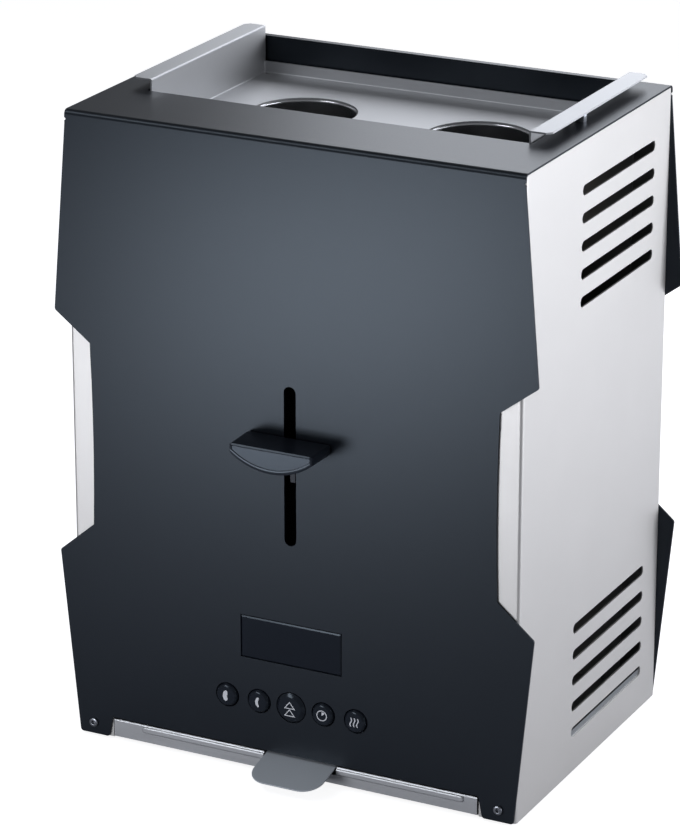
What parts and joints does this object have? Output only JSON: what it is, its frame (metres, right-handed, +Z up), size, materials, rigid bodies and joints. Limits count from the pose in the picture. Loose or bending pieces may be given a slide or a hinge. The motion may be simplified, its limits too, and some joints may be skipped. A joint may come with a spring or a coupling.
{
  "type": "hot dog toaster",
  "caption": "Upright toaster for sausages that stand in round chambers, with a front lift lever, a display, round buttons, a lift-out holder and a slide-out drip tray.",
  "frame": {"origin": "on the surface the toaster stands on, at the middle of its overall width and depth", "axes": "+Z up, -Y towards the front with the lever and the buttons, +X to the right seen from the front"},
  "size_m": [0.3008, 0.23, 0.3865],
  "materials": {
    "coated_steel": "satin",
    "side_steel": "fine brushed",
    "tray_steel": "satin",
    "cage_steel": "bright drawn wire",
    "tab_steel": "satin",
    "sheet_steel": "plain",
    "rod_steel": "ground",
    "spring_steel": "drawn wire",
    "magnet_steel": "plain",
    "bronze": "sintered",
    "coil_copper": "enamelled wire",
    "heater_glass": "quartz",
    "heater_ceramic": "matt",
    "knob_plastic": "satin",
    "key_plastic": "satin",
    "housing_plastic": "moulded",
    "lens_plastic": "polished",
    "board": "solder mask",
    "part_plastic": "moulded",
    "transformer_tape": "wound tape",
    "cutout_case": "plain",
    "screw_steel": "black oxide",
    "board_screw_steel": "zinc",
    "rest_steel": "dark",
    "foot_rubber": "matt"
  },
  "bodies": {
    "casing": {"outer_shell": "coated_steel", "tray_well": "coated_steel", "left_side_panel": "side_steel", "right_side_panel": "side_steel", "base_plate": "sheet_steel", "front_heat_shield": "sheet_steel", "rear_heat_shield": "sheet_steel", "rod_bracket": "sheet_steel", "magnet_bracket": "sheet_steel", "left_chamber_tube": "sheet_steel", "right_chamber_tube": "sheet_steel", "left_guide_rod": "rod_steel", "right_guide_rod": "rod_steel", "left_return_spring": "spring_steel", "right_return_spring": "spring_steel", "magnet_core": "magnet_steel", "magnet_coil": "coil_copper", "left_heating_tubes": "heater_glass", "right_heating_tubes": "heater_glass", "left_upper_heater_ring": "heater_ceramic", "left_lower_heater_ring": "heater_ceramic", "right_upper_heater_ring": "heater_ceramic", "right_lower_heater_ring": "heater_ceramic", "control_housing": "housing_plastic", "display_module": "housing_plastic", "display_lens": "lens_plastic", "control_board": "board", "power_board": "board", "button_switches": "part_plastic", "relay": "part_plastic", "terminal_block": "part_plastic", "board_spacers": "part_plastic", "cord_gland": "part_plastic", "transformer": "transformer_tape", "thermal_cutout": "cutout_case", "front_screws": "screw_steel", "rear_screws": "screw_steel", "board_screws": "board_screw_steel", "grip_rests": "rest_steel", "front_left_foot": "foot_rubber", "front_right_foot": "foot_rubber", "rear_left_foot": "foot_rubber", "rear_right_foot": "foot_rubber"},
    "lift": {"lift_carriage": "sheet_steel", "left_guide_bush": "bronze", "right_guide_bush": "bronze", "left_lift_platform": "sheet_steel", "right_lift_platform": "sheet_steel", "armature_plate": "magnet_steel", "lever_knob": "knob_plastic"},
    "holder": {"holder_tray": "tray_steel", "left_sausage_cage": "cage_steel", "right_sausage_cage": "cage_steel"},
    "drip_drawer": {"drip_tray": "tray_steel", "tray_tab": "tab_steel"},
    "thick_sausage_key": {"thick_sausage_button": "key_plastic"},
    "thin_sausage_key": {"thin_sausage_button": "key_plastic"},
    "lift_key": {"lift_button": "key_plastic"},
    "timer_key": {"timer_button": "key_plastic"},
    "keep_warm_key": {"keep_warm_button": "key_plastic"}
  },
  "joints": [
    {"name": "lift_slide", "type": "slide", "parent": "casing", "child": "lift", "axis": [0, 0, 1], "range_m": [-0.052, 0.0325], "stiffness_N_per_m": 150, "springref_m": 0.0229, "deforming": ["left_return_spring", "right_return_spring"]},
    {"name": "holder_lift_off", "type": "slide", "parent": "casing", "child": "holder", "axis": [0, 0, 1], "range_m": [0, 0.21]},
    {"name": "drip_tray_slide", "type": "slide", "parent": "casing", "child": "drip_drawer", "axis": [0, -1, 0], "range_m": [0, 0.185]},
    {"name": "thick_sausage_press", "type": "slide", "parent": "casing", "child": "thick_sausage_key", "axis": [0, 1, 0], "range_m": [0, 0.001], "stiffness_N_per_m": 800},
    {"name": "thin_sausage_press", "type": "slide", "parent": "casing", "child": "thin_sausage_key", "axis": [0, 1, 0], "range_m": [0, 0.001], "stiffness_N_per_m": 800},
    {"name": "lift_press", "type": "slide", "parent": "casing", "child": "lift_key", "axis": [0, 1, 0], "range_m": [0, 0.001], "stiffness_N_per_m": 800},
    {"name": "timer_press", "type": "slide", "parent": "casing", "child": "timer_key", "axis": [0, 1, 0], "range_m": [0, 0.001], "stiffness_N_per_m": 800},
    {"name": "keep_warm_press", "type": "slide", "parent": "casing", "child": "keep_warm_key", "axis": [0, 1, 0], "range_m": [0, 0.001], "stiffness_N_per_m": 800}
  ]
}
